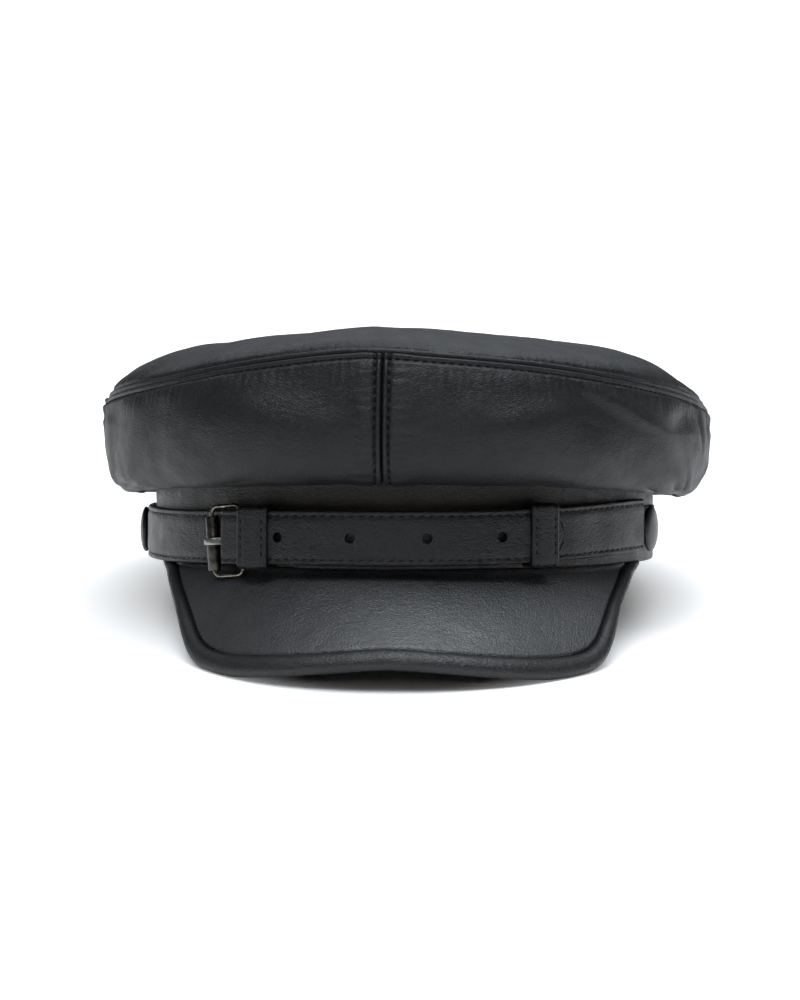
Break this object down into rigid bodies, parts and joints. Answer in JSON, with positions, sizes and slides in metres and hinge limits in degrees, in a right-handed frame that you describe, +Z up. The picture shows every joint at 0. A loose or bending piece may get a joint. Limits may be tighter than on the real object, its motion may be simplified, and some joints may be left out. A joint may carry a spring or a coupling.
{
  "type": "fisherman cap",
  "caption": "Soft-crowned leather fisherman cap with a stiff curved peak and a buckled leather strap round the front of its band.",
  "frame": {"origin": "on the surface that the cap rests on, under the middle of its outline", "axes": "+Z up from the surface, +Y from the peak towards the back of the cap, +X towards the wearer's left, which is the right in a front view"},
  "size_m": [0.2088, 0.2638, 0.1046],
  "materials": {
    "crown_leather": "fine-grained black leather with a satin sheen",
    "band_leather": "fine-grained black leather with a satin sheen",
    "peak_leather": "fine-grained black leather, pulled smooth, satin sheen",
    "strap_leather": "firm black leather with a satin sheen and dark edges",
    "button_leather": "black leather pulled over a dome",
    "antique_bronze": "dark antique bronze plating, polished edges",
    "antique_steel": "darkened steel, rubbed bright"
  },
  "bodies": {
    "root": {"crown_top": "crown_leather", "side_panel_front_left": "crown_leather", "side_panel_front_right": "crown_leather", "side_panel_back_left": "crown_leather", "side_panel_back_right": "crown_leather", "band": "band_leather", "peak": "peak_leather", "peak_rim": "peak_leather", "strap_tongue": "strap_leather", "strap_buckle_side": "strap_leather", "keeper_fixed": "strap_leather", "keeper_sliding": "strap_leather", "button_left": "button_leather", "button_right": "button_leather", "buckle_frame": "antique_bronze", "buckle_roller": "antique_bronze", "buckle_prong": "antique_steel"}
  },
  "joints": []
}
